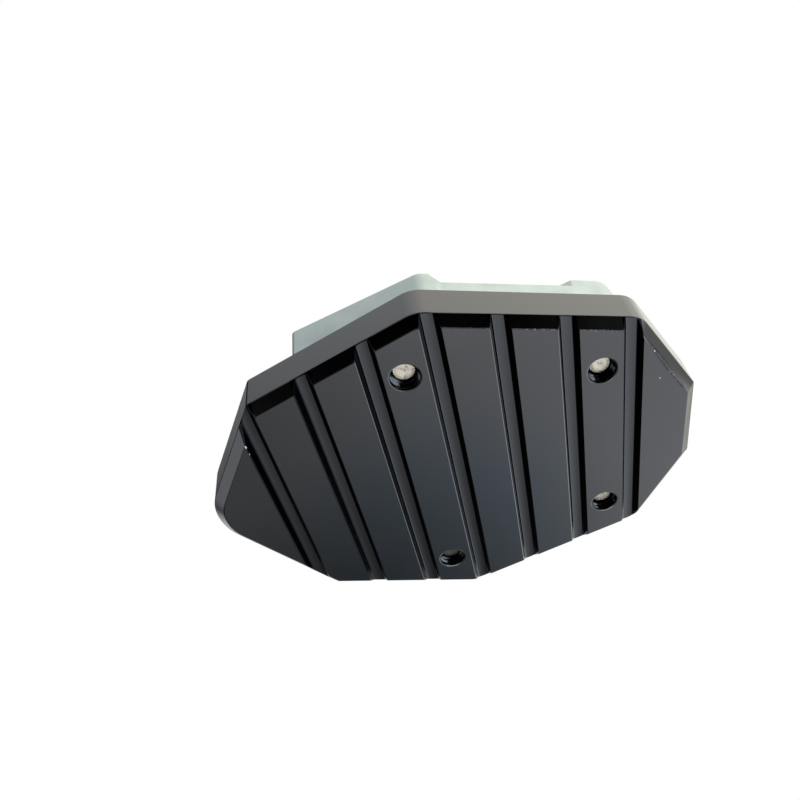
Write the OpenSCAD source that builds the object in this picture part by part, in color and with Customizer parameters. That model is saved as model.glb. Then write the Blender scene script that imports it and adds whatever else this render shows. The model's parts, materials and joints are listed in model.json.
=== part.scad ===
// Kickstand foot enlarger: a grooved ground plate and a clamp plate that trap the foot of a side stand.
// X runs along the plate from the leg end to the far end, Y across it, Z up from the ground face.

/* [Ground plate] */
// Overall length of the ground plate, mm
plate_length = 107.7; // [104:0.5:112]
// Thickness of the ground plate, mm
plate_thick = 10; // [8:0.5:12]
// Size of the 45 degree chamfer round the ground face, mm
rim_chamfer = 2; // [1:0.1:2.2]
// Angle of the two edges at the leg end, from the X axis, degrees
leg_edge_angle = 55.8; // [54:0.1:57]
// Place along Y of the corner at the leg end, mm
tip_y = -0.5; // [-1:0.1:0]
// Half width where the leg end edges stop, mm
shoulder_y = 28.4; // [28:0.1:30]
// How much further out the +Y shoulder stands, mm
shoulder_extra = 0.9; // [0:0.1:1.2]
// Place along X of the widest point, mm
widest_x = -1.6; // [-3:0.1:1]
// Half width at the widest point, mm
widest_y = 40.8; // [40:0.1:42]
// How much further out the +Y widest point stands, mm
widest_extra = 0.4; // [0:0.1:0.6]
// Place along X of the far shoulder, mm
far_x = 41.7; // [40:0.1:43]
// Half width at the far shoulder, mm
far_y = 29.4; // [29:0.1:31]
// Half width of the far end, mm
end_y = 9.9; // [8:0.1:12]
// Corner radius at the leg end, mm
tip_r = 12; // [8:0.5:16]
// Corner radius at the widest points, mm
widest_r = 7; // [5:0.5:14]
// Corner radius at the far shoulders, mm
far_r = 6; // [4:0.5:8]
// Radius that breaks the small corners, mm
small_r = 1.5; // [1:0.1:2]

/* [Grooves] */
// Number of grooves across the ground face
groove_count = 7; // [5:1:7]
// Distance from groove to groove, mm
groove_pitch = 13; // [12.8:0.1:13.2]
// Width of each groove, mm
groove_w = 4; // [3:0.1:4.4]
// Depth of each groove, mm
groove_d = 1.9; // [1.6:0.1:2.4]
// Lean of a groove's walls from upright, degrees
groove_lean = 22; // [15:1:25]
// Radius between the walls and the bottom of a groove, mm
groove_fillet = 0.5; // [0.3:0.1:0.7]
// Place along X of the groove nearest the leg end, mm
groove_x0 = -38.5; // [-39:0.1:-37]

/* [Clamp plate] */
// Thickness of the clamp plate, mm
clamp_thick = 8; // [7.5:0.1:10]
// Place along X of the open end, mm
clamp_open_x = -27.3; // [-28:0.1:-25]
// Half width at the open end, mm
clamp_open_y = 31.9; // [31:0.1:32]
// Place along X of the far end, mm
clamp_end_x = 50.4; // [50:0.1:51]
// Width of the slot that the leg stands in, mm
leg_slot_w = 30; // [26:1:32]
// Place along X of the slot's round end centre, mm
leg_slot_x = 5.5; // [2:0.5:8]
// Width of the foot pocket under the slot, mm
pocket_w = 42; // [38:1:42]
// Height of the foot pocket, mm
pocket_h = 4.6; // [4.2:0.1:5]
// Depth of the relief in the upper edge, mm
relief_d = 2.25; // [1.5:0.05:3]
// Radius of the relief in the upper edge, mm
relief_r = 26; // [24:1:30]

/* [Screws] */
// Place along X of the two screws near the leg, mm
rear_screw_x = -6.2; // [-6.5:0.1:-5]
// Distance of those screws from the X axis, mm
rear_screw_y = 28.3; // [28:0.1:28.5]
// Place along X of the two far screws, mm
front_screw_x = 33; // [32.5:0.1:34]
// Distance of the far screws from the X axis, mm
front_screw_y = 19.8; // [19.5:0.1:20]
// Thread diameter, mm
screw_d = 6; // [5:0.5:6]
// Head diameter, mm
head_d = 10; // [9:0.1:10.5]
// Head height, mm
head_h = 3.3; // [2.5:0.1:4]
// Depth of the counterbore for the head, mm
counterbore_d = 3.9; // [3.5:0.1:4.5]
// Distance of the screw's end above the ground face, mm
tip_recess = 2.4; // [1:0.1:4]

/* [Hidden] */
$fn = 96;

// A little extra so that cutters pass through the faces that they cut
over = 1;
// Height of the thin slice that gives a blended body its lower face
skin = 0.01;
// Angle of one step along a rounded corner, degrees
arc_step = 6;
// Corner where the two leg end edges would meet if they weren't rounded
tip_x = -plate_length / 2 - tip_r * (1 / sin(leg_edge_angle) - 1);

// Corners of the ground plate on one side, each as [x, |y|, radius]; tip, shoulder and widest
// are that side's |y| of the leg end corner, the shoulder and the widest point
function plate_side(tip, shoulder, widest) = [
    [tip_x + (shoulder - tip) / tan(leg_edge_angle), shoulder, small_r],
    [widest_x, widest, widest_r],
    [far_x, far_y, far_r],
    [plate_length / 2, end_y, small_r]
];
// The whole outline runs clockwise from the leg end
plate_corners = concat(
    [[tip_x, tip_y, tip_r]],
    plate_side(tip_y, shoulder_y + shoulder_extra, widest_y + widest_extra),
    mirrored(plate_side(-tip_y, shoulder_y, widest_y))
);

// A groove's bottom is a shallow arc that runs into the fillets at both walls; fillet_lean is
// the arc's slope where it meets a fillet
groove_bottom_r = 9;
fillet_path_r = groove_bottom_r - groove_fillet;
fillet_lean = asin((groove_w / 2 * cos(groove_lean)
                    + (groove_bottom_r - groove_d) * sin(groove_lean)
                    - groove_fillet) / fillet_path_r) - groove_lean;
fillet_x = fillet_path_r * sin(fillet_lean);
fillet_z = groove_d - groove_bottom_r + fillet_path_r * cos(fillet_lean);

// Places of the four tapped holes
rear_left = [rear_screw_x, rear_screw_y];
rear_right = [rear_screw_x, -rear_screw_y];
front_left = [front_screw_x, front_screw_y];
front_right = [front_screw_x, -front_screw_y];
screw_places = [rear_left, rear_right, front_left, front_right];
tap_mouth_d = screw_d + 0.4;
shank_d = screw_d - 0.1;
tip_d = screw_d - 1.5;
clearance_d = screw_d + 0.6;
counterbore_w = head_d + 1;

clamp_top = plate_thick + clamp_thick;
head_seat = clamp_top - counterbore_d;
hex_w = screw_d * 2 / 3;
hex_depth = head_h / 2;
head_edge = 0.4;

// The clamp plate's edge stands a little further out near its widest corner
clamp_widest = [0.4, 39.2];
clamp_step_out = [4, 38.25];
clamp_step_in = [4.4, 37.6];
clamp_far = [38.2, 28.8];
clamp_end_y = 9.1;
clamp_half = [
    [clamp_open_x, clamp_open_y, 1],
    [clamp_widest[0], clamp_widest[1], 4],
    [clamp_step_out[0], clamp_step_out[1], 0],
    [clamp_step_in[0], clamp_step_in[1], 0],
    [clamp_far[0], clamp_far[1], 5],
    [clamp_end_x, clamp_end_y, 3]
];
clamp_corners = concat(clamp_half, mirrored(clamp_half));
// Centre of the round relief, outside the edge that it crosses
relief_centre = [22.6, -55.1];

// The same corners on the -Y side, in the order that closes the outline
function mirrored(half) = [for (i = [len(half) - 1:-1:0]) [half[i][0], -half[i][1], half[i][2]]];

function at(corners, i) = corners[(i + len(corners)) % len(corners)];
function place(corner) = [corner[0], corner[1]];
function unit(v) = v / norm(v);

// Direction of the edge that leaves corner i
function run(corners, i) = unit(place(at(corners, i + 1)) - place(at(corners, i)));

// Angle that the outline turns through at corner i; it runs clockwise, so this is positive
function turn(corners, i) = acos(max(-1, min(1, run(corners, i - 1) * run(corners, i))));

// Distance from corner i to where its arc starts
function tangent(corners, i) = at(corners, i)[2] * tan(turn(corners, i) / 2);

// Right hand side of a direction, which is the inside of a clockwise outline
function inside(d) = [d[1], -d[0]];

function arc_start(corners, i) =
    place(at(corners, i)) - tangent(corners, i) * run(corners, i - 1);
function arc_centre(corners, i) =
    arc_start(corners, i) + at(corners, i)[2] * inside(run(corners, i - 1));

// Outline as points, with each arc in steps of about arc_step degrees
function outline(corners) = [
    for (i = [0:len(corners) - 1])
        let (c = arc_centre(corners, i), from = arc_start(corners, i) - c,
             steps = at(corners, i)[2] > 0 ? ceil(turn(corners, i) / arc_step) : 0)
            for (k = [0:steps])
                steps == 0 ? place(at(corners, i))
                           : c + turned(from, -turn(corners, i) * k / steps)
];
function turned(v, a) = [v[0] * cos(a) - v[1] * sin(a), v[0] * sin(a) + v[1] * cos(a)];

// The same corners moved inwards by d, with their radii reduced to match
function inset(corners, d) = [
    for (i = [0:len(corners) - 1])
        let (a = inside(run(corners, i - 1)), b = inside(run(corners, i)),
             p = place(at(corners, i)) + d * (a + b) / (1 + a * b))
            [p[0], p[1], max(0, at(corners, i)[2] - d)]
];

// Points along an arc, with angles measured from the Y axis towards +X
function arc(centre, r, from, to, steps) = [
    for (k = [0:steps]) let (a = from + (to - from) * k / steps) centre + r * [sin(a), cos(a)]
];

// Section of a groove, from its mouth up into the plate
groove_mouth = groove_w / 2 + over * tan(groove_lean);
groove_section = concat(
    [[-groove_mouth, -over]],
    arc([-fillet_x, fillet_z], groove_fillet, groove_lean - 90, -fillet_lean, 10),
    arc([0, groove_d - groove_bottom_r], groove_bottom_r, -fillet_lean / 2, fillet_lean / 2, 2),
    arc([fillet_x, fillet_z], groove_fillet, fillet_lean, 90 - groove_lean, 10),
    [[groove_mouth, -over]]
);

// Groove across the whole width
module groove(x) {
    translate([x, 0, 0])
        rotate([90, 0, 0])
            linear_extrude(height = 2 * (widest_y + widest_extra + over), center = true)
                polygon(groove_section);
}

module tapped_hole() {
    translate([0, 0, -over]) cylinder(d = screw_d, h = plate_thick + 2 * over);
    translate([0, 0, -over])
        cylinder(d1 = tap_mouth_d + 2 * over, d2 = screw_d, h = over + (tap_mouth_d - screw_d) / 2);
}

// Ground plate: chamfered rim, seven grooves and four tapped holes
module base_plate() {
    color("#25272b")
        difference() {
            hull() {
                translate([0, 0, rim_chamfer])
                    linear_extrude(height = plate_thick - rim_chamfer)
                        polygon(outline(plate_corners));
                linear_extrude(height = skin) polygon(outline(inset(plate_corners, rim_chamfer)));
            }
            for (i = [0:groove_count - 1]) groove(groove_x0 + i * groove_pitch);
            for (p = screw_places) translate([p[0], p[1], 0]) tapped_hole();
        }
}

// Stadium that opens towards the leg end
module open_slot(width, height) {
    linear_extrude(height = height)
        union() {
            translate([leg_slot_x, 0]) circle(d = width);
            translate([clamp_open_x - over, -width / 2])
                square([leg_slot_x - clamp_open_x + over, width]);
        }
}

// Clearance hole with a counterbore from the top
module screw_seat() {
    translate([0, 0, plate_thick - over]) cylinder(d = clearance_d, h = clamp_thick + 2 * over);
    translate([0, 0, head_seat]) cylinder(d = counterbore_w, h = counterbore_d + over);
}

// Clamp plate: slot for the leg, pocket under it for the foot, relief in one edge
module clamp_plate() {
    color("#aab3b6")
        difference() {
            translate([0, 0, plate_thick])
                linear_extrude(height = clamp_thick) polygon(outline(clamp_corners));
            translate([0, 0, plate_thick - over]) open_slot(leg_slot_w, clamp_thick + 2 * over);
            translate([0, 0, plate_thick - over]) open_slot(pocket_w, pocket_h + over);
            for (p = screw_places) translate([p[0], p[1], 0]) screw_seat();
            translate([relief_centre[0], relief_centre[1], clamp_top - relief_d])
                cylinder(r = relief_r, h = relief_d + over);
        }
}

// Low head screw from the top, with its chamfered end short of the ground face
module screw(p) {
    tip_cone = (shank_d - tip_d) / 2;
    color("#c9c7bd")
        translate([p[0], p[1], 0])
            difference() {
                union() {
                    translate([0, 0, tip_recess]) cylinder(d1 = tip_d, d2 = shank_d, h = tip_cone);
                    translate([0, 0, tip_recess + tip_cone])
                        cylinder(d = shank_d, h = head_seat - tip_recess - tip_cone);
                    translate([0, 0, head_seat]) cylinder(d = head_d, h = head_h - head_edge);
                    translate([0, 0, head_seat + head_h - head_edge])
                        cylinder(d1 = head_d, d2 = head_d - 2 * head_edge, h = head_edge);
                }
                translate([0, 0, head_seat + head_h - hex_depth])
                    cylinder(d = hex_w / cos(30), h = hex_depth + over, $fn = 6);
            }
}

module screw_rear_left() { screw(rear_left); }
module screw_rear_right() { screw(rear_right); }
module screw_front_left() { screw(front_left); }
module screw_front_right() { screw(front_right); }

base_plate();
clamp_plate();
screw_rear_left();
screw_rear_right();
screw_front_left();
screw_front_right();
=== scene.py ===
"""Foot enlarger for a side stand, dressed for a studio picture from below.

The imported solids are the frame.  The two plates are taken over from it with their machined
edges broken; the screws are turned afresh on the same axes, and each tapped hole gets its
thread.  Lengths of the part are in millimetres here and are turned into metres when a mesh
is made.  In the finishes and the studio a band is a ramp's start, where it gives 0, and its
end, where it gives 1.
"""

from __future__ import annotations

import json
import logging
import math
from collections.abc import Iterable
from dataclasses import dataclass
from enum import Enum
from functools import reduce

import bmesh
import bpy
from mathutils import Matrix, Vector

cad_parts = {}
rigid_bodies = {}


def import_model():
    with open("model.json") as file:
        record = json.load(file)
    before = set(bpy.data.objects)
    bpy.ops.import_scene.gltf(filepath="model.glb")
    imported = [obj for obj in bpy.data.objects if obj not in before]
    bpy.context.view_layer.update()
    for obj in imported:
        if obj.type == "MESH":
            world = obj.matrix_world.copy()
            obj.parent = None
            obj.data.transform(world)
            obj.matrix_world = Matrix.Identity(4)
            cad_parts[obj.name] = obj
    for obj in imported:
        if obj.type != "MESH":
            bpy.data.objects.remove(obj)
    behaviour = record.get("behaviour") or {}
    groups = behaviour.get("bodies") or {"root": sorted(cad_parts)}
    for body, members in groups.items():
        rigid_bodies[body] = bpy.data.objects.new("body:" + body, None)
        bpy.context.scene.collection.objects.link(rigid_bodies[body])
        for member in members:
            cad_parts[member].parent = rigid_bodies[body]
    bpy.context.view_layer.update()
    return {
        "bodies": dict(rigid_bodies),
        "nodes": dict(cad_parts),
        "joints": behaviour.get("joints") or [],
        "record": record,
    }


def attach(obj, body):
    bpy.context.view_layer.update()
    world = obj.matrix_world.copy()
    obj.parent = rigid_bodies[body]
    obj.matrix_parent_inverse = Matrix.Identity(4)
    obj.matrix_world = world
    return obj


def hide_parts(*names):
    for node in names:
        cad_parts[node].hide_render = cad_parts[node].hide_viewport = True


LOG = logging.getLogger("foot_enlarger")
MM = 0.001
BODY = "root"
Point = tuple[float, float, float]
Colour = tuple[float, float, float, float]
Band = tuple[float, float]
FLAT: Point = (1.0, 1.0, 0.0)
UP: Point = (0.0, 0.0, 1.0)
AHEAD: Point = (1.0, 0.0, 0.0)
WHITE: Colour = (1.0, 1.0, 1.0, 1.0)


class Slot(Enum):
    """Material slots of the record."""

    BLACK = "black_plate"
    SILVER = "silver_plate"
    STEEL = "screw_steel"


class Corner(Enum):
    """The four screws, with the place of each axis in mm."""

    REAR_LEFT = ("rear_left", -6.2, 28.3)
    REAR_RIGHT = ("rear_right", -6.2, -28.3)
    FRONT_LEFT = ("front_left", 33.0, 19.8)
    FRONT_RIGHT = ("front_right", 33.0, -19.8)

    @property
    def label(self) -> str:
        """Name of the corner, as the CAD nodes spell it."""
        return self.value[0]

    @property
    def axis(self) -> Point:
        """Where the screw's axis meets the ground face, in mm."""
        return self.value[1], self.value[2], 0.0


class Value:
    """A number in a node tree, on which Python arithmetic adds Math nodes."""

    def __init__(self, bench: NodeBench, socket: bpy.types.NodeSocket) -> None:
        """Wrap a socket.

        Args:
            bench: the maker of nodes in the socket's tree.
            socket: an output socket that holds a number.
        """
        self.bench = bench
        self.socket = socket

    def maths(self, operation: str, *others: Value | float) -> Value:
        """Add one Math node that takes this number first.

        Args:
            operation: the Math node's operation.
            others: its further inputs, in order.

        Returns:
            The node's result.
        """
        inputs = dict(enumerate((self, *others)))
        return self.bench.value(
            self.bench.node("ShaderNodeMath", {"operation": operation}, inputs)
        )

    def __add__(self, other: Value | float) -> Value:
        """Return self + other."""
        return self.maths("ADD", other)

    __radd__ = __add__

    def __sub__(self, other: Value | float) -> Value:
        """Return self - other."""
        return self.maths("SUBTRACT", other)

    def __mul__(self, other: Value | float) -> Value:
        """Return self * other."""
        return self.maths("MULTIPLY", other)

    def __truediv__(self, other: Value | float) -> Value:
        """Return self / other."""
        return self.maths("DIVIDE", other)

    def held(self, most: float = 1.0) -> Value:
        """Return the value held between 0 and most."""
        return self.maths("MAXIMUM", 0.0).maths("MINIMUM", most)

    def ramp(self, start: float, end: float) -> Value:
        """Return 0 at start and 1 at end, held outside; start may be the larger."""
        return ((self - start) / (end - start)).held()

    def below(self, limit: float, soft: float) -> Value:
        """Return 1 below a limit and 0 above it, softly over a distance on both sides."""
        return self.ramp(limit + soft, limit - soft)

    def swing(self, span: float) -> Value:
        """Return noise brought round 0, where its range of 0 to 1 becomes span."""
        return (self - 0.5) * span


def highest(values: Iterable[Value]) -> Value:
    """Return the largest of some values."""
    return reduce(lambda one, other: one.maths("MAXIMUM", other), values)


@dataclass(frozen=True)
class Grain:
    """Noise: the size of a feature in mm, and the octaves of finer noise in it."""

    size: float
    detail: float = 2.0


class NodeBench:
    """Adds nodes and links to one node tree."""

    def __init__(self, tree: bpy.types.NodeTree) -> None:
        """Empty the tree.

        Args:
            tree: the node tree of a material or a world.
        """
        self.tree = tree
        tree.nodes.clear()

    def node(
        self,
        kind: str,
        settings: dict[str, object] | None = None,
        inputs: dict[str | int, object] | None = None,
    ) -> bpy.types.Node:
        """Add one node.

        Args:
            kind: the node's type name.
            settings: the node's properties, set before its sockets.
            inputs: for each input socket a Value, a socket to link, or a constant.

        Returns:
            The new node.
        """
        node = self.tree.nodes.new(kind)
        for name, setting in (settings or {}).items():
            setattr(node, name, setting)
        for name, content in (inputs or {}).items():
            socket = node.inputs[name]
            if isinstance(content, Value):
                content = content.socket
            if isinstance(content, bpy.types.NodeSocket):
                self.tree.links.new(content, socket)
            else:
                socket.default_value = content
        return node

    def value(self, node: bpy.types.Node, output: str | int = 0) -> Value:
        """Wrap a node's output as a number."""
        return Value(self, node.outputs[output])

    def _vector_node(self, operation: str, *inputs: object) -> bpy.types.Node:
        """Add a Vector Math node with these inputs."""
        settings = {"operation": operation}
        return self.node("ShaderNodeVectorMath", settings, dict(enumerate(inputs)))

    def vector(self, operation: str, *inputs: object) -> bpy.types.NodeSocket:
        """Return the vector that a Vector Math operation makes."""
        return self._vector_node(operation, *inputs).outputs["Vector"]

    def gap(self, place: bpy.types.NodeSocket, point: object) -> Value:
        """Return the distance from place to a point."""
        return self.value(self._vector_node("DISTANCE", place, point), "Value")

    def dot(self, one: object, other: object) -> Value:
        """Return the dot product of two vectors."""
        return self.value(self._vector_node("DOT_PRODUCT", one, other), "Value")

    def scaled(self, vector: object, factor: Value | float) -> bpy.types.NodeSocket:
        """Return a vector times a number."""
        inputs = {0: vector, "Scale": factor}
        return self.node("ShaderNodeVectorMath", {"operation": "SCALE"}, inputs).outputs[0]

    def stretched(self, place: bpy.types.NodeSocket, factors: Point) -> bpy.types.NodeSocket:
        """Return place with each axis scaled by its own factor."""
        return self.vector("MULTIPLY", place, factors)

    def place(self) -> bpy.types.NodeSocket:
        """Return object coordinates in mm."""
        return self.scaled(self.node("ShaderNodeTexCoord").outputs["Object"], 1.0 / MM)

    def axes(self, place: bpy.types.NodeSocket) -> tuple[Value, ...]:
        """Return the X, Y and Z of a place."""
        split = self.node("ShaderNodeSeparateXYZ", inputs={0: place})
        return tuple(self.value(split, axis) for axis in "XYZ")

    def grain(self, place: bpy.types.NodeSocket, grain: Grain) -> Value:
        """Return noise between about 0.2 and 0.8 at a place in mm."""
        inputs = {"Vector": place, "Scale": 1.0 / grain.size, "Detail": grain.detail}
        return self.value(self.node("ShaderNodeTexNoise", inputs=inputs), "Fac")

    def blend(
        self, factor: Value | float, low: object, high: object
    ) -> bpy.types.NodeSocket:
        """Mix two colours.

        Args:
            factor: 0 gives low and 1 gives high.
            low: a colour or a colour socket.
            high: a colour or a colour socket.

        Returns:
            The mixed colour.
        """
        node = self.node(
            "ShaderNodeMix", {"data_type": "RGBA"}, {0: factor, 6: low, 7: high}
        )
        return node.outputs[2]

    def bump(self, height: Value, depth: float) -> bpy.types.NodeSocket:
        """Return a normal from a height, where 1 stands for a depth in mm."""
        inputs = {"Height": height, "Distance": depth * MM}
        return self.node("ShaderNodeBump", inputs=inputs).outputs["Normal"]

    def surface(self, **sockets: object) -> None:
        """Add a Principled shader, and link it to the output.

        Args:
            sockets: its inputs by name, with underscores for spaces.
        """
        names = {name.replace("_", " "): content for name, content in sockets.items()}
        shader = self.node("ShaderNodeBsdfPrincipled", inputs=names)
        self.node("ShaderNodeOutputMaterial", inputs={"Surface": shader.outputs[0]})


@dataclass(frozen=True)
class Nick:
    """A small bare spot in the black finish."""

    place: Point
    radius: float


@dataclass(frozen=True)
class WornEdge:
    """A straight edge along which the black finish is chipped here and there."""

    start: Point
    end: Point
    reach: Band = (0.26, 0.13)
    end_fade: float = 0.5
    chip: Grain = Grain(0.42)
    chip_share: Band = (0.56, 0.72)

    def mask(self, bench: NodeBench, place: bpy.types.NodeSocket) -> Value:
        """Find the chips.

        Args:
            bench: the maker of nodes.
            place: coordinates in mm.

        Returns:
            1 in the chips and 0 elsewhere.
        """
        run = Vector(self.end) - Vector(self.start)
        line = tuple(run.normalized())
        offset = bench.vector("SUBTRACT", place, self.start)
        along = bench.dot(offset, line)
        aside = bench.gap(offset, bench.scaled(line, along)).ramp(*self.reach)
        fade = self.end_fade
        ends = along.ramp(-fade, fade) * along.below(run.length, fade)
        return aside * ends * bench.grain(place, self.chip).ramp(*self.chip_share)


@dataclass(frozen=True)
class Scuff:
    """A spindle-shaped patch of flecks in a colour of their own: lighter flecks are rubbed
    finish, darker ones painted shade that dulls an edge's highlight.
    """

    start: Point
    end: Point
    half_width: float
    colour: Colour
    share: Band
    fleck: Grain = Grain(0.5, 3.0)
    core: float = 0.4

    def mask(self, bench: NodeBench, place: bpy.types.NodeSocket) -> Value:
        """Find the flecks.

        Args:
            bench: the maker of nodes.
            place: coordinates in mm.

        Returns:
            1 on the flecks and 0 elsewhere.
        """
        reach = bench.gap(place, self.start) + bench.gap(place, self.end)
        half_length = (Vector(self.end) - Vector(self.start)).length / 2
        rim, core = (
            2 * math.hypot(half_length, width)
            for width in (self.half_width, self.half_width * self.core)
        )
        return reach.ramp(rim, core) * bench.grain(place, self.fleck).ramp(*self.share)


@dataclass(frozen=True)
class Hollows:
    """Where the black plate is cut: its grooves lie along Y, and its holes along Z."""

    first_groove: float = -38.5
    last_groove: float = 39.5
    pitch: float = 13.0
    half_width: float = 2.0
    soft: float = 0.05
    end_fade: float = 0.1
    wall_edge: Band = (1.05, 1.3)
    mouth: Band = (0.03, 0.10)
    roof: Band = (2.0, 1.94)
    # Painted shade: towards the leg end each groove's colour mask grows wider and reaches down
    # over the edge bevels, so the dark wall colour hides their highlight and widens the dark
    # bands.
    worn_side: Band = (-12.0, -26.0)
    worn_width: float = 0.2
    worn_height: float = 0.12
    hole_radius: float = 3.3
    hole_mouth: Band = (0.02, 0.2)

    def grooves(self, bench: NodeBench, place: bpy.types.NodeSocket) -> tuple[Value, Value]:
        """Find the grooves.

        Args:
            bench: the maker of nodes.
            place: coordinates in mm.

        Returns:
            1 in the grooves and 0 elsewhere, and 1 towards a groove's walls; towards the leg end
            both reach further, for painted shade.
        """
        along, _, height = bench.axes(place)
        aside = (along - self.first_groove).maths("PINGPONG", self.pitch / 2)
        # Painted shade: on the side towards the leg end the mask is widened and lowered.
        side_shade = along.ramp(*self.worn_side)
        shaded_margin = side_shade * self.worn_width
        within = (aside - shaded_margin).below(self.half_width, self.soft)
        first, last = self.first_groove - self.pitch / 2, self.last_groove + self.pitch / 2
        row = along.ramp(first, first + self.end_fade) * along.ramp(last, last - self.end_fade)
        low = height + side_shade * self.worn_height
        inside = row * within * low.ramp(*self.mouth) * height.ramp(*self.roof)
        return inside, (aside + shaded_margin).ramp(*self.wall_edge)

    def holes(self, bench: NodeBench, place: bpy.types.NodeSocket) -> Value:
        """Find the tapped holes.

        Args:
            bench: the maker of nodes.
            place: coordinates in mm.

        Returns:
            1 in the holes and 0 elsewhere.
        """
        flat = bench.stretched(place, FLAT)
        inside = highest(
            bench.gap(flat, corner.axis).below(self.hole_radius, self.soft)
            for corner in Corner
        )
        _, _, height = bench.axes(place)
        return inside * height.ramp(*self.hole_mouth)


@dataclass(frozen=True)
class Finish:
    """What every finish shares: its name, and a material made on a bench of nodes."""

    name: str

    def material(self) -> bpy.types.Material:
        """Build the finish.

        Returns:
            The material.
        """
        material = bpy.data.materials.new(self.name)
        material.use_nodes = True
        self.lay_nodes(NodeBench(material.node_tree))
        return material

    def lay_nodes(self, bench: NodeBench) -> None:
        """Add the finish's own nodes, in the classes below."""
        raise NotImplementedError


@dataclass(frozen=True)
class BlackAnodised(Finish):
    """Satin black anodising on machined aluminium, with bare metal where it is knocked off, and
    painted shade in its grooves and holes and in dark flecks along one edge.
    """

    name: str = "black_anodised"
    colour: Colour = (0.135, 0.1365, 0.143, 1.0)
    bluer: Colour = (0.117, 0.138, 0.158, 1.0)
    blue_centre: Point = (-5.0, 18.0, 0.0)
    blue_reach: Band = (42.0, 18.9)
    blue_swing: float = 30.0
    # Painted shade: the groove floors are darker than the lands, and the groove walls and the
    # holes nearly black, standing for the shade and dark reflections in these cuts.
    groove: Colour = (0.100, 0.106, 0.114, 1.0)
    wall: Colour = (0.012, 0.013, 0.018, 1.0)
    hole: Colour = (0.050, 0.052, 0.054, 1.0)
    bare: Colour = (0.62, 0.62, 0.60, 1.0)
    cloud: Grain = Grain(9.0)
    roughness: float = 0.19
    cloud_roughness: float = 0.10
    hollows: Hollows = Hollows()
    nicks: tuple[Nick, ...] = (
        Nick((43.9, -22.0, 0.0), 0.22),
        Nick((45.3, -14.8, 0.0), 0.22),
        Nick((-40.5, -19.8, 0.0), 0.40),
        Nick((-40.3, -17.8, 0.0), 0.30),
        Nick((18.3, -40.0, 1.8), 0.45),
    )
    nick_reach: Band = (1.0, 0.6)
    ragged: Grain = Grain(0.3)
    ragged_swing: float = 1.4
    scuffs: tuple[Scuff, ...] = (
        # Painted shade: dark flecks along the inner edge of the long chamfer dull the bevel's
        # highlight there.
        Scuff(
            (42.2, -25.2, 0.1),
            (51.2, -10.0, 0.1),
            half_width=0.75,
            colour=(0.075, 0.075, 0.085, 1.0),
            share=(0.32, 0.54),
        ),
        Scuff(
            (47.2, -16.4, 0.0),
            (49.4, -12.8, 0.0),
            half_width=0.70,
            colour=(0.25, 0.25, 0.29, 1.0),
            share=(0.59, 0.66),
        ),
    )
    worn_edges: tuple[WornEdge, ...] = (
        WornEdge((-1.0, -38.8, 0.0), (41.0, -27.4, 0.0)),
    )

    def lay_nodes(self, bench: NodeBench) -> None:
        """Add the finish's own nodes.

        Args:
            bench: the maker of nodes.
        """
        place = bench.place()
        cloud = bench.grain(place, self.cloud)
        dye_and_shade = self._dyed(bench, place, cloud)
        bench.surface(
            Base_Color=bench.blend(self._knocked_off(bench, place), dye_and_shade, self.bare),
            Metallic=1.0,
            Roughness=self.roughness + cloud.swing(self.cloud_roughness),
        )

    def _knocked_off(self, bench: NodeBench, place: bpy.types.NodeSocket) -> Value:
        """Find the bare metal.

        Args:
            bench: the maker of nodes.
            place: coordinates in mm.

        Returns:
            1 where the metal is bare and 0 elsewhere.
        """
        ragged = bench.grain(place, self.ragged).swing(self.ragged_swing)
        spots = [
            (bench.gap(place, nick.place) / nick.radius + ragged).ramp(*self.nick_reach)
            for nick in self.nicks
        ]
        return highest(spots + [edge.mask(bench, place) for edge in self.worn_edges])

    def _dyed(
        self, bench: NodeBench, place: bpy.types.NodeSocket, cloud: Value
    ) -> bpy.types.NodeSocket:
        """Mix the colours of the lands, the cuts and the flecked patches, where the cuts and the
        darker flecks carry painted shade.

        Args:
            bench: the maker of nodes.
            place: coordinates in mm.
            cloud: the noise that makes the bluer patch uneven.

        Returns:
            The colour where the finish isn't knocked off, painted shade included.
        """
        blue = bench.gap(place, self.blue_centre) + cloud.swing(self.blue_swing)
        land = bench.blend(blue.ramp(*self.blue_reach), self.colour, self.bluer)
        in_groove, near_wall = self.hollows.grooves(bench, place)
        # Painted shade: the grooves' floors and walls and the holes take their darker colours
        # here.
        dye_and_shade = bench.blend(in_groove, land, bench.blend(near_wall, self.groove, self.wall))
        dye_and_shade = bench.blend(self.hollows.holes(bench, place), dye_and_shade, self.hole)
        for fleck_patch in self.scuffs:
            dye_and_shade = bench.blend(fleck_patch.mask(bench, place), dye_and_shade, fleck_patch.colour)
        return dye_and_shade


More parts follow.
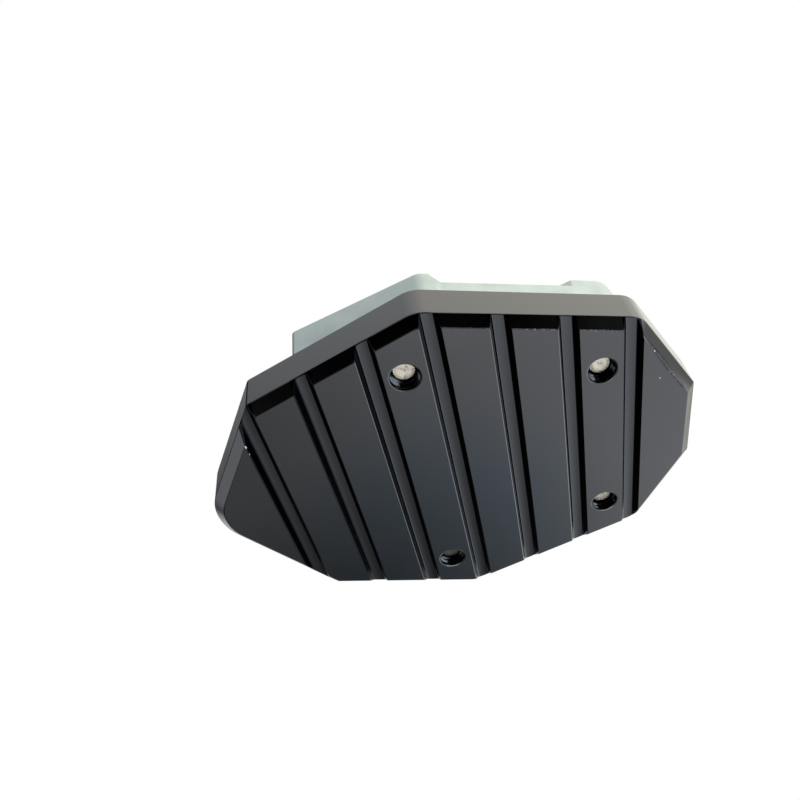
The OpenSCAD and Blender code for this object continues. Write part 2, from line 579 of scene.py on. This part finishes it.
@dataclass(frozen=True)
class ClearAnodised(Finish):
    """Clear anodising over a fine bead blast, with faint cutter marks on the edges."""

    name: str = "clear_anodised"
    colour: Colour = (0.53, 0.605, 0.605, 1.0)
    shade: Colour = (0.44, 0.505, 0.505, 1.0)
    roughness: float = 0.36
    cloud: Grain = Grain(7.0, 6.0)
    cloud_share: Band = (0.35, 0.65)
    cloud_roughness: float = 0.12
    blast: Grain = Grain(0.3, 3.0)
    blast_height: float = 0.7
    cutter: Grain = Grain(0.35)
    cutter_length: float = 14.0
    cutter_height: float = 0.5
    cutter_roughness: float = 0.10
    scratch: Grain = Grain(0.12, 1.0)
    scratch_length: float = 6.0
    scratch_share: Band = (0.70, 0.76)
    scratch_depth: float = 0.4
    scratch_polish: float = 0.12
    relief: float = 0.006

    def lay_nodes(self, bench: NodeBench) -> None:
        """Add the finish's own nodes.

        Args:
            bench: the maker of nodes.
        """
        place = bench.place()
        blast = bench.grain(place, self.blast)
        cloud = bench.grain(place, self.cloud)
        upright = (1.0, 1.0, self.cutter.size / self.cutter_length)
        cutter = bench.grain(bench.stretched(place, upright), self.cutter)
        level = (self.scratch.size / self.scratch_length, 1.0, 1.0)
        scratch = bench.grain(bench.stretched(place, level), self.scratch)
        scratch = scratch.ramp(*self.scratch_share)
        bench.surface(
            Base_Color=bench.blend(cloud.ramp(*self.cloud_share), self.shade, self.colour),
            Metallic=1.0,
            Roughness=self.roughness
            + cloud.swing(self.cloud_roughness)
            + cutter.swing(self.cutter_roughness)
            - scratch * self.scratch_polish,
            Normal=bench.bump(
                blast * self.blast_height
                + cutter * self.cutter_height
                - scratch * self.scratch_depth,
                self.relief,
            ),
        )


@dataclass(frozen=True)
class TurnedStainless(Finish):
    """Turned stainless steel, with rings round the piece's own Z axis.

    The end of one screw, whose axis is named, is darker in colour.
    """

    name: str = "turned_stainless"
    colour: Colour = (0.92, 0.86, 0.74, 1.0)
    dull: Colour = (0.50, 0.47, 0.38, 1.0)
    dull_share: Band = (0.54, 0.68)
    dull_strength: float = 0.8
    grime: Colour = (0.12, 0.115, 0.10, 1.0)
    grimy_axis: Point = Corner.REAR_LEFT.axis
    grime_reach: Band = (2.0, 1.0)
    grime_heights: Band = (6.0, 5.0)
    grime_strength: float = 0.85
    roughness: float = 0.36
    cloud: Grain = Grain(1.1, 3.0)
    cloud_roughness: float = 0.3
    pit: Grain = Grain(0.35)
    pit_roughness: float = 0.08
    ring_pitch: float = 0.16
    ring_height: float = 0.6
    relief: float = 0.006

    def lay_nodes(self, bench: NodeBench) -> None:
        """Add the finish's own nodes.

        Args:
            bench: the maker of nodes.
        """
        place = bench.place()
        own_axis = bench.scaled(
            bench.node("ShaderNodeObjectInfo").outputs["Location"], 1.0 / MM
        )
        moved = bench.vector("ADD", own_axis, place)
        cloud, pits = bench.grain(moved, self.cloud), bench.grain(moved, self.pit)
        radius = bench.gap(bench.stretched(place, FLAT), (0.0, 0.0, 0.0))
        rings = (radius * (math.tau / self.ring_pitch)).maths("SINE") * 0.5 + 0.5
        dull = cloud.ramp(*self.dull_share) * self.dull_strength
        _, _, height = bench.axes(place)
        # The whole end of the one named screw is darker in colour.
        at_axis = bench.gap(bench.stretched(own_axis, FLAT), self.grimy_axis)
        darkened_end = at_axis.ramp(*self.grime_reach) * height.ramp(*self.grime_heights)
        steel = bench.blend(dull, self.colour, self.dull)
        bench.surface(
            Base_Color=bench.blend(darkened_end * self.grime_strength, steel, self.grime),
            Metallic=1.0,
            Roughness=self.roughness
            + cloud.swing(self.cloud_roughness)
            + pits * self.pit_roughness,
            Normal=bench.bump(rings * self.ring_height + pits, self.relief),
        )


@dataclass(frozen=True)
class StudioPaper(Finish):
    """Matt white paper."""

    name: str = "studio_paper"
    colour: Colour = (0.80, 0.80, 0.79, 1.0)
    fibre: Grain = Grain(2.0, 3.0)
    fibre_depth: float = 0.05
    fibre_roughness: float = 0.1
    roughness: float = 0.9

    def lay_nodes(self, bench: NodeBench) -> None:
        """Add the finish's own nodes.

        Args:
            bench: the maker of nodes.
        """
        fibre = bench.grain(bench.place(), self.fibre)
        bench.surface(
            Base_Color=self.colour,
            Roughness=self.roughness + fibre.swing(self.fibre_roughness),
            Normal=bench.bump(fibre, self.fibre_depth),
        )


def polar(radius: float, angle: float, height: float) -> Vector:
    """Return a point round the Z axis in metres, from a radius and a height in mm."""
    return Vector((radius * math.cos(angle), radius * math.sin(angle), height)) * MM


def shade_softly(form: bmesh.types.BMesh, sharp_angle: float) -> None:
    """Shade every face smooth, with a hard edge wherever faces meet steeply.

    Args:
        form: the mesh being edited.
        sharp_angle: angle between faces from which an edge stays hard, in degrees.
    """
    for face in form.faces:
        face.smooth = True
    limit = math.radians(sharp_angle)
    for edge in form.edges:
        edge.smooth = edge.is_manifold and edge.calc_face_angle(0.0) < limit


def loft(rings: list[list[Vector]], sharp_angle: float) -> bmesh.types.BMesh:
    """Join rings of points by faces, and close both ends.

    Args:
        rings: rings of equally many points, in metres.
        sharp_angle: angle between faces from which an edge stays hard, in degrees.

    Returns:
        The mesh being edited.
    """
    form = bmesh.new()
    loops = [[form.verts.new(point) for point in ring] for ring in rings]
    for low, high in zip(loops, loops[1:]):
        for here in range(len(low)):
            after = (here + 1) % len(low)
            form.faces.new((low[here], low[after], high[after], high[here]))
    form.faces.new(loops[0][::-1])
    form.faces.new(loops[-1])
    bmesh.ops.recalc_face_normals(form, faces=form.faces[:])
    shade_softly(form, sharp_angle)
    return form


def add_piece(
    name: str, form: bmesh.types.BMesh, material: bpy.types.Material
) -> bpy.types.Object:
    """Put an edited mesh in the scene and free it.

    Args:
        name: the piece's name.
        form: the mesh being edited.
        material: its finish.

    Returns:
        The new object.
    """
    mesh = bpy.data.meshes.new(name)
    form.to_mesh(mesh)
    form.free()
    mesh.materials.append(material)
    piece = bpy.data.objects.new(name, mesh)
    bpy.context.scene.collection.objects.link(piece)
    return piece


def weigh_normals(piece: bpy.types.Object, weight: int) -> None:
    """Let large faces set the normals, so that flat ones look flat.

    Args:
        piece: the piece.
        weight: how much the size of a face counts, from 1 to 100.
    """
    modifier = piece.modifiers.new("weighted_normals", "WEIGHTED_NORMAL")
    modifier.keep_sharp = True
    modifier.weight = weight


def finish_piece(piece: bpy.types.Object, slot: Slot, *nodes: str) -> None:
    """Tie a piece to the frame and report it.

    Args:
        piece: the piece, in place.
        slot: the record's slot, which is not used.
        nodes: the CAD nodes that it stands for.
    """
    bpy.context.view_layer.update()
    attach(piece, BODY)
    if nodes:
        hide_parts(*nodes)
    LOG.info("%s: %d faces", piece.name, len(piece.data.polygons))


@dataclass(frozen=True)
class MachinedPlate:
    """A plate taken over from its CAD solid, with its machined edges broken."""

    node: str
    name: str
    slot: Slot
    finish: Finish
    edge_break: float = 0.12
    edge_roundness: float = 0.5
    segments: int = 1
    sharp_angle: float = 20.0
    edge_angle: float = 28.0
    weld: float = 0.002
    flat_angle: float = 0.3
    normal_weight: int = 80

    def build(self, frame: dict) -> bpy.types.Object:
        """Build the plate.


        Returns:
            The plate.
        """
        form = bmesh.new()
        form.from_mesh(frame["nodes"][self.node].data)
        self._merge_facets(form)
        self._break_edges(form)
        shade_softly(form, self.sharp_angle)
        piece = add_piece(self.name, form, self.finish.material())
        weigh_normals(piece, self.normal_weight)
        finish_piece(piece, self.slot, self.node)
        return piece

    def _merge_facets(self, form: bmesh.types.BMesh) -> None:
        """Weld doubled points and merge facets that lie in one plane.

        Args:
            form: the mesh being edited.
        """
        bmesh.ops.remove_doubles(form, verts=form.verts[:], dist=self.weld * MM)
        bmesh.ops.dissolve_limit(
            form,
            angle_limit=math.radians(self.flat_angle),
            verts=form.verts[:],
            edges=form.edges[:],
        )

    def _break_edges(self, form: bmesh.types.BMesh) -> None:
        """Bevel the machined edges, and split the many-sided faces that are left.

        Args:
            form: the mesh being edited.
        """
        limit = math.radians(self.edge_angle)
        edges = [
            edge
            for edge in form.edges
            if edge.is_manifold and edge.calc_face_angle(0.0) > limit
        ]
        bmesh.ops.bevel(
            form,
            geom=edges,
            offset=self.edge_break * MM,
            offset_type="OFFSET",
            segments=self.segments,
            profile=self.edge_roundness,
            affect="EDGES",
            clamp_overlap=False,
            loop_slide=True,
        )
        many_sided = [face for face in form.faces if len(face.verts) > 4]
        bmesh.ops.triangulate(form, faces=many_sided, ngon_method="BEAUTY")


@dataclass(frozen=True)
class Ring:
    """One ring of a turned profile, in mm; hexagonal rings take radius as across flats / 2."""

    radius: float
    height: float
    hexagonal: bool = False

    def point(self, angle: float) -> Vector:
        """Find one point of the ring.

        Args:
            angle: its angle in radians.

        Returns:
            The point, in metres.
        """
        radius = self.radius
        if self.hexagonal:
            sector = math.pi / 3
            radius /= math.cos((angle % sector) - sector / 2)
        return polar(radius, angle, self.height)


@dataclass
class Screw:
    """A low head socket screw, seen from its end in the ground face and from its head.

    The end's face has (radius, rise) pairs, edges have (step out, step down) pairs, and the
    point that the socket's drill left has (radius, drop) pairs.
    """

    corner: Corner
    finish: bpy.types.Material
    turned_by: float
    steps: int = 96
    sharp_angle: float = 32.0
    end_height: float = 2.4
    end_radius: float = 2.25
    end_face: tuple[Band, ...] = (
        (0.02, 0.16),
        (0.28, 0.10),
        (0.34, 0.05),
        (1.05, 0.03),
        (1.62, 0.02),
        (1.68, 0.09),
        (1.80, 0.10),
        (1.86, 0.01),
        (2.08, 0.00),
        (2.19, 0.02),
    )
    end_rim: float = 0.08
    shank_radius: float = 2.95
    shank_edge: float = 0.08
    neck: float = 0.1
    head_seat: float = 14.1
    seat_edge: float = 0.12
    head_radius: float = 5.0
    head_height: float = 3.3
    head_edge: tuple[Band, ...] = ((0.0, 0.42), (-0.06, 0.28), (-0.28, 0.06), (-0.44, 0.0))
    socket_across: float = 4.0
    socket_land: float = 0.60
    socket_edge: tuple[Band, ...] = ((0.42, 0.0), (0.06, 0.05), (0.0, 0.30))
    socket_depth: float = 1.65
    floor_edge: float = 0.08
    drill_point: tuple[Band, ...] = ((0.9, 0.16), (0.02, 0.55))

    def profile(self) -> list[Ring]:
        """Lay out the turned profile.

        Returns:
            The rings from the middle of the end to the bottom of the socket.
        """
        end, seat = self.end_height, self.head_seat
        cone = end + self.shank_radius - self.end_radius
        top = seat + self.head_height
        across = self.socket_across / 2
        floor = top - self.socket_depth
        return [
            *(Ring(radius, end + rise) for radius, rise in self.end_face),
            Ring(self.end_radius, end + self.end_rim),
            Ring(self.shank_radius - self.shank_edge, cone - self.shank_edge / 2),
            Ring(self.shank_radius, cone + self.shank_edge),
            Ring(self.shank_radius, seat - self.neck),
            Ring(self.shank_radius + self.neck, seat),
            Ring(self.head_radius - self.seat_edge, seat),
            Ring(self.head_radius, seat + self.seat_edge),
            *(Ring(self.head_radius + out, top - down) for out, down in self.head_edge),
            Ring(across + self.socket_land, top),
            *(Ring(across + out, top - down, True) for out, down in self.socket_edge),
            Ring(across, floor, True),
            Ring(across - self.floor_edge, floor - self.floor_edge / 2, True),
            *(Ring(radius, floor - drop) for radius, drop in self.drill_point),
        ]

    def build(self) -> bpy.types.Object:
        """Build the screw.

        Returns:
            The screw, with its origin on its own axis at the ground face.
        """
        angles = [math.tau * step / self.steps for step in range(self.steps)]
        rings = [[ring.point(angle) for angle in angles] for ring in self.profile()]
        form = loft(rings, self.sharp_angle)
        piece = add_piece(f"turned_screw_{self.corner.label}", form, self.finish)
        piece.location = Vector(self.corner.axis) * MM
        piece.rotation_euler.z = self.turned_by
        finish_piece(piece, Slot.STEEL, f"screw_{self.corner.label}")
        return piece


@dataclass
class TappedThread:
    """The open turns of thread between the ground face and the screw's end."""

    corner: Corner
    finish: bpy.types.Material
    start_angle: float
    pitch: float = 1.0
    root_radius: float = 3.06
    crest_radius: float = 2.56
    half_root: float = 0.44
    half_crest: float = 0.07
    start_height: float = 0.55
    turns: float = 2.25
    steps_per_turn: int = 60
    taper_turns: float = 0.25
    thinnest: float = 0.04
    sharp_angle: float = 25.0

    def section(self, turn: float) -> list[tuple[float, float]]:
        """Return the section at a place along the helix.

        Args:
            turn: turns from the start.

        Returns:
            (radius, height) points in mm, round the section.
        """
        left = min(turn, self.turns - turn) / self.taper_turns
        share = max(self.thinnest, min(1.0, left))
        height = self.start_height + turn * self.pitch
        root, crest = self.half_root * share, self.half_crest * share
        reach = self.root_radius + (self.crest_radius - self.root_radius) * share
        return [
            (self.root_radius, height - root),
            (reach, height - crest),
            (reach, height + crest),
            (self.root_radius, height + root),
        ]

    def build(self) -> bpy.types.Object:
        """Build the thread.

        Returns:
            The thread, with its origin on the hole's axis at the ground face.
        """
        count = round(self.turns * self.steps_per_turn)
        rings = []
        for step in range(count + 1):
            turn = self.turns * step / count
            angle = self.start_angle - math.tau * turn
            rings.append([polar(radius, angle, height) for radius, height in self.section(turn)])
        form = loft(rings, self.sharp_angle)
        piece = add_piece(f"tapped_thread_{self.corner.label}", form, self.finish)
        piece.location = Vector(self.corner.axis) * MM
        finish_piece(piece, Slot.BLACK)
        return piece


@dataclass
class FootEnlarger:
    """The whole part: two plates, four screws and the threads that they turn in."""

    ground_plate: MachinedPlate = MachinedPlate(
        "base_plate", "grooved_ground_plate", Slot.BLACK, BlackAnodised()
    )
    foot_clamp: MachinedPlate = MachinedPlate(
        "clamp_plate",
        "foot_clamp_plate",
        Slot.SILVER,
        ClearAnodised(),
        edge_break=0.2,
        segments=2,
        sharp_angle=40.0,
    )
    screw_turns: tuple[float, ...] = (0.3, 2.1, 4.0, 1.2)
    thread_starts: tuple[float, ...] = (0.4, 1.9, 3.3, 5.0)

    def build(self, frame: dict) -> None:
        """Build every piece.
        """
        plate = self.ground_plate.build(frame)
        self.foot_clamp.build(frame)
        steel = TurnedStainless().material()
        black = plate.data.materials[0]
        for corner, turn, start in zip(Corner, self.screw_turns, self.thread_starts):
            Screw(corner, steel, turn).build()
            TappedThread(corner, black, start).build()


@dataclass(frozen=True)
class Viewpoint:
    """The camera, low in front of the part and looking up at its ground face."""

    name: str = "view_from_below"
    place: Point = (0.00020, -0.11692, -0.11910)
    heading: float = 2.73
    tilt: float = 41.38
    roll: float = -14.25
    lens: float = 33.74
    sensor: float = 36.0
    shift: Band = (-0.12237, 0.15023)
    clip: Band = (0.005, 20.0)

    def turn(self) -> Matrix:
        """Work out how the camera is turned.

        Returns:
            Its rotation as a 3 by 3 matrix.
        """
        heading, tilt, roll = map(math.radians, (self.heading, self.tilt, self.roll))
        forward = Vector(
            (
                math.sin(heading) * math.cos(tilt),
                math.cos(heading) * math.cos(tilt),
                math.sin(tilt),
            )
        )
        level = Vector((math.cos(heading), -math.sin(heading), 0.0))
        upright = level.cross(forward)
        right = level * math.cos(roll) + upright * math.sin(roll)
        return Matrix((right, right.cross(forward), -forward)).transposed()

    def build(self) -> bpy.types.Object:
        """Build the camera and make it the scene's own.

        Returns:
            The camera.
        """
        data = bpy.data.cameras.new(self.name)
        data.lens = self.lens
        data.sensor_width = self.sensor
        data.shift_x, data.shift_y = self.shift
        data.clip_start, data.clip_end = self.clip
        camera = bpy.data.objects.new(self.name, data)
        camera.matrix_world = Matrix.Translation(self.place) @ self.turn().to_4x4()
        bpy.context.scene.collection.objects.link(camera)
        bpy.context.scene.camera = camera
        return camera


@dataclass(frozen=True)
class Softbox:
    """A square area lamp of white light that faces the part."""

    name: str
    towards: Point
    distance: float
    size: float
    radiance: float

    def build(self) -> bpy.types.Object:
        """Build the lamp.

        Returns:
            The lamp, which the camera doesn't see.
        """
        data = bpy.data.lights.new(self.name, "AREA")
        data.shape = "SQUARE"
        data.size = self.size
        data.energy = self.radiance * math.pi * self.size**2
        lamp = bpy.data.objects.new(self.name, data)
        direction = Vector(self.towards).normalized()
        lamp.location = direction * self.distance
        lamp.rotation_euler = direction.to_track_quat("Z", "Y").to_euler()
        lamp.visible_camera = False
        bpy.context.scene.collection.objects.link(lamp)
        return lamp


@dataclass(frozen=True)
class Glow:
    """A soft patch of room light round a direction; a negative one is a shade.

    It reaches so many degrees, and is at its full strength over the core's share of them.
    """

    towards: Point
    strength: float
    reach: float
    core: float = 0.2

    def light(self, bench: NodeBench, direction: bpy.types.NodeSocket) -> Value:
        """Find the light that it adds.

        Args:
            bench: the maker of nodes.
            direction: a direction of the room.

        Returns:
            The light in that direction.
        """
        inner = math.cos(math.radians(self.reach * self.core))
        outer = math.cos(math.radians(self.reach))
        return facing(bench, direction, self.towards).ramp(outer, inner) * self.strength


@dataclass(frozen=True)
class RoomSide:
    """Light from one half of the room: level + slope . direction, and its tint."""

    level: float
    slope: Point
    tint: Colour


def facing(bench: NodeBench, direction: bpy.types.NodeSocket, towards: Point) -> Value:
    """Return the cosine between a direction of the room and a fixed one."""
    return bench.dot(direction, tuple(Vector(towards).normalized()))


@dataclass
class Studio:
    """A pale room that is dim on the camera's side, with a paper floor and two softboxes."""

    floor_height: float = -0.42
    floor_size: float = 5.0
    floor_cells: int = 8
    dim_side: Point = (-0.03, -0.75, -0.66)
    dim_edge: Band = (0.80, 0.45)
    below: RoomSide = RoomSide(1.33, (0.87, 0.0, 1.04), (0.98, 1.0, 1.02, 1.0))
    above: RoomSide = RoomSide(0.87, (0.95, 0.0, 0.23), (0.97, 1.0, 1.02, 1.0))
    warm_tint: Colour = (1.02, 1.0, 0.89, 1.0)
    warm_side: Band = (-0.45, 0.30)
    seam: Band = (-0.25, 0.15)
    ceiling: float = 1.6
    brightest: float = 3.2
    glows: tuple[Glow, ...] = (
        Glow((-0.95, 0.10, -0.30), 0.52, 35.0),
        Glow((-0.70, 0.40, 0.60), -0.8, 35.0),
        Glow((-0.08, 0.90, -0.42), -0.63, 25.0),
        Glow((0.0, 0.15, -1.0), 0.35, 32.0),
        Glow((0.05, 0.12, -1.0), 3.6, 22.0),
        Glow((-0.45, 0.62, 0.64), 0.27, 28.0),
        Glow((0.58, -0.68, -0.45), -0.7, 28.0),
        Glow((-0.68, 0.67, 0.28), 1.1, 20.0),
        Glow((0.46, 0.38, 0.80), -0.55, 34.0),
        Glow((0.98, 0.19, -0.07), -1.05, 30.0),
        Glow((0.68, 0.67, 0.35), -0.85, 22.0),
        Glow((-0.65, 0.65, -0.38), -0.6, 25.0),
    )
    lamps: tuple[Softbox, ...] = (
        Softbox("side_softbox", (0.63, 0.31, 0.71), 0.75, 0.45, 0.3),
        Softbox("low_softbox", (0.72, 0.69, 0.02), 0.75, 0.35, 0.5),
    )

    def build(self) -> None:
        """Build the world, the floor and the lamps."""
        self._light_room()
        self._lay_floor()
        for lamp in self.lamps:
            lamp.build()
        bpy.context.scene.view_settings.view_transform = "Standard"

    def _light_room(self) -> None:
        """Build the world: white behind the part, and a room that dims towards the camera."""
        world = bpy.data.worlds.new("studio_room")
        world.use_nodes = True
        bpy.context.scene.world = world
        bench = NodeBench(world.node_tree)
        direction = bench.node("ShaderNodeTexCoord").outputs["Generated"]
        height = bench.dot(direction, UP).ramp(*self.seam)
        low, high = (
            (bench.dot(direction, side.slope) + side.level).held(self.ceiling)
            for side in (self.below, self.above)
        )
        light = low + (high - low) * height
        for glow in self.glows:
            light = light + glow.light(bench, direction)
        away = facing(bench, direction, self.dim_side).ramp(*self.dim_edge)
        light = light.held(self.brightest) * away
        warmth = bench.dot(direction, AHEAD).ramp(*self.warm_side)
        upper = bench.blend(warmth, self.above.tint, self.warm_tint)
        tint = bench.blend(height, self.below.tint, upper)
        room = bench.node("ShaderNodeBackground", inputs={"Color": tint, "Strength": light})
        white = bench.node("ShaderNodeBackground", inputs={"Color": WHITE})
        seen = bench.node("ShaderNodeLightPath").outputs["Is Camera Ray"]
        mixed = bench.node(
            "ShaderNodeMixShader",
            inputs={0: seen, 1: room.outputs[0], 2: white.outputs[0]},
        )
        bench.node("ShaderNodeOutputWorld", inputs={"Surface": mixed.outputs[0]})

    def _lay_floor(self) -> None:
        """Lay the paper floor, well below the camera."""
        form = bmesh.new()
        cells = self.floor_cells
        bmesh.ops.create_grid(form, x_segments=cells, y_segments=cells, size=self.floor_size / 2)
        floor = add_piece("paper_floor", form, StudioPaper().material())
        floor.location.z = self.floor_height
        floor.visible_glossy = False


def main() -> None:
    """Load the frame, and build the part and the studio."""
    logging.basicConfig(level=logging.INFO, format="%(name)s: %(message)s")
    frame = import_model()
    FootEnlarger().build(frame)
    Viewpoint().build()
    Studio().build()


if __name__ == "__main__":
    main()
